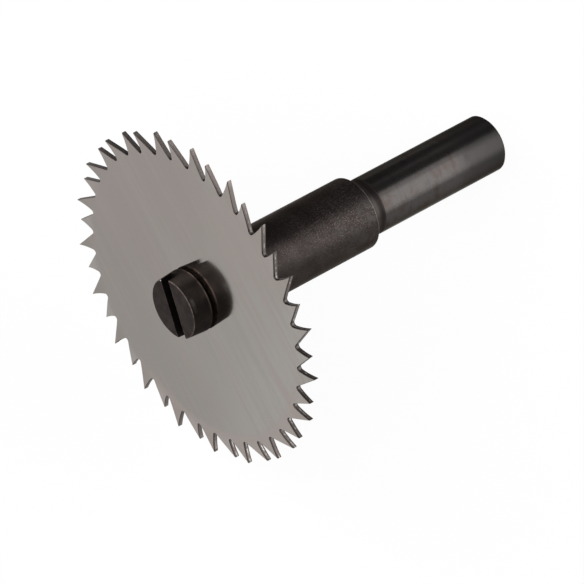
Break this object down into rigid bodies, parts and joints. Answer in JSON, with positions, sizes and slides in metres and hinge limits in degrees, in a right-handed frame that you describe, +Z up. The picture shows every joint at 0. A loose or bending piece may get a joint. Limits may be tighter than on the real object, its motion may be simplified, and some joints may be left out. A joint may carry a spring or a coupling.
{
  "type": "slitting saw",
  "caption": "Small slitting saw: a thin steel disc with alternately set teeth, clamped by a slotted screw to the front of a stepped round mandrel with a plain shank.",
  "frame": {"origin": "on the surface the tool lies on, under the middle of its box", "axes": "+Z is up. +X runs from the blade to the shank's end. The tool's axis lies in the XZ plane and slopes down towards +X by 20.76 degrees, because the tool rests on two teeth and on the far edge of its shank"},
  "size_m": [0.058, 0.0464, 0.0437],
  "materials": {
    "blade_steel": "ground",
    "blackened_steel": "blackened, with a ground shank",
    "screw_steel": "blackened, matte"
  },
  "bodies": {
    "root": {"saw_blade": "blade_steel", "mandrel": "blackened_steel", "clamp_screw": "screw_steel"}
  },
  "joints": []
}
